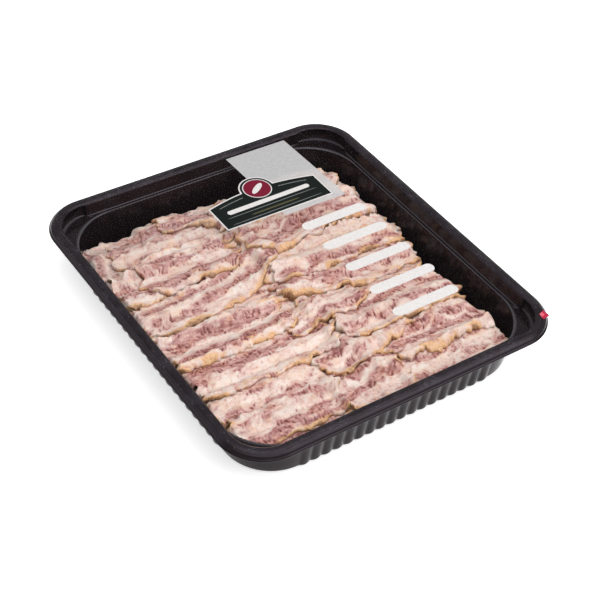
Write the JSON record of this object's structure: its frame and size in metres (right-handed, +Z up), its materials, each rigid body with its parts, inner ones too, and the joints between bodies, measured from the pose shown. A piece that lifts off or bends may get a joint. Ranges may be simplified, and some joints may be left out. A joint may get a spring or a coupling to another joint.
{
  "type": "bacon pack",
  "caption": "Sealed black rectangular tray of overlapping cooked streaky bacon rashers under a clear film, with a ribbed wall and a flat seal flange.",
  "frame": {"origin": "under the middle of the tray, on the surface that it rests on", "axes": "+Z up out of the film, +Y to the back wall of the tray along its longer side, +X to the right, with the front wall towards -Y and the rashers lying along X"},
  "size_m": [0.271, 0.2968, 0.0426],
  "materials": {
    "tray_plastic": "black thermoformed sheet, satin, lightly scuffed on the flange",
    "lidding_film": "clear lidding film with white and dark printed fields",
    "bacon": "cooked streaky bacon, mauve lean, cream fat and browned rind, slightly moist"
  },
  "bodies": {
    "root": {"tray_floor": "tray_plastic", "tray_front_wall": "tray_plastic", "tray_right_wall": "tray_plastic", "tray_back_wall": "tray_plastic", "tray_left_wall": "tray_plastic", "film": "lidding_film", "rasher_bed": "bacon", "rasher_01": "bacon", "rasher_02": "bacon", "rasher_03": "bacon", "rasher_04": "bacon", "rasher_05": "bacon", "rasher_06": "bacon", "rasher_07": "bacon", "rasher_08": "bacon", "rasher_09": "bacon", "rasher_10": "bacon", "rasher_11": "bacon", "rasher_12": "bacon", "rasher_13": "bacon", "rasher_14": "bacon", "rasher_15": "bacon", "rasher_16": "bacon", "rasher_17": "bacon", "rasher_18": "bacon", "rasher_19": "bacon", "rasher_20": "bacon", "rasher_21": "bacon", "rasher_22": "bacon", "rasher_23": "bacon", "rasher_24": "bacon", "rasher_25": "bacon", "rasher_26": "bacon", "rasher_27": "bacon"}
  },
  "joints": []
}
